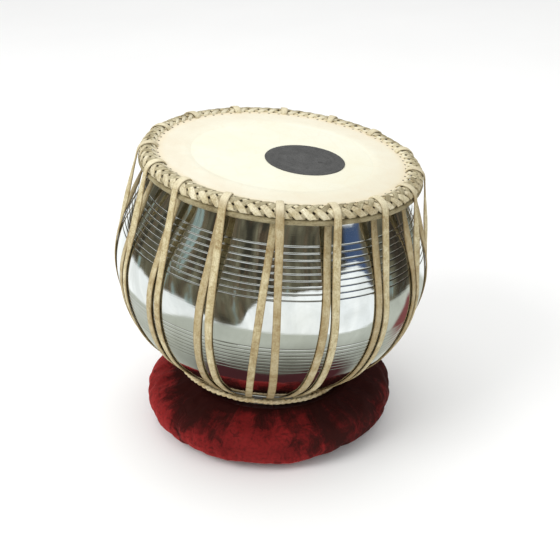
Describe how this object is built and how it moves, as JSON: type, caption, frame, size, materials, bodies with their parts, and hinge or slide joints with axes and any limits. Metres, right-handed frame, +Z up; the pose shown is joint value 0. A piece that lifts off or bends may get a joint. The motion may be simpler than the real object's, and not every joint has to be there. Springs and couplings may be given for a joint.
{
  "type": "tabla bass hand drum (bayan) on a ring cushion",
  "caption": "Rounded plated metal kettle drum with a laced leather head and a black patch set off centre, leaning in a soft ring cushion.",
  "frame": {"origin": "on the floor, under the middle of the assembled drum's box; the cushion's centre is 4.15 mm towards -X of it", "axes": "+Z up; +X is the side the drum leans towards; -Y is the front, where the first lace house and the offset patch face the viewer"},
  "size_m": [0.2749, 0.276, 0.2675],
  "materials": {
    "plated_bowl": "mirror polished",
    "goatskin": "matte",
    "black_paste": "matte",
    "rawhide": "satin",
    "cotton_rope": "matte",
    "cotton_wadding": "matte",
    "velvet": "matte",
    "sewing_thread": "matte"
  },
  "bodies": {
    "cushion": {"cushion_core_coil": "cotton_rope", "cushion_wadding": "cotton_wadding", "cushion_cover": "velvet", "cushion_closing_stitches": "sewing_thread"},
    "drum": {"bowl": "plated_bowl", "inner_skin_ring": "goatskin", "playing_skin": "goatskin", "outer_skin_ring": "goatskin", "hoop_core_rope": "cotton_rope", "hoop_plait_outer_strips": "rawhide", "hoop_plait_inner_strips": "rawhide", "hoop_lower_strand": "rawhide", "lace_run_01": "rawhide", "lace_run_02": "rawhide", "lace_run_03": "rawhide", "lace_run_04": "rawhide", "lace_run_05": "rawhide", "lace_run_06": "rawhide", "lace_run_07": "rawhide", "lace_run_08": "rawhide", "lace_run_09": "rawhide", "lace_run_10": "rawhide", "lace_run_11": "rawhide", "lace_run_12": "rawhide", "lace_run_13": "rawhide", "lace_run_14": "rawhide", "lace_run_15": "rawhide", "lace_run_16": "rawhide", "lace_end_knot": "rawhide", "bottom_ring": "rawhide"},
    "head_patch": {"tuning_patch": "black_paste"}
  },
  "joints": [
    {"name": "drum_tilt", "type": "hinge", "parent": "cushion", "child": "drum", "pos_m": [-0.00035, 0, 0.1515], "axis": [0, 1, 0], "range_deg": [-18, 10]},
    {"name": "head_press", "type": "slide", "parent": "drum", "child": "head_patch", "axis": [-0.1132, 0, -0.9936], "range_m": [0, 0.003], "stiffness_N_per_m": 4000, "deforming": ["playing_skin", "outer_skin_ring"]}
  ]
}
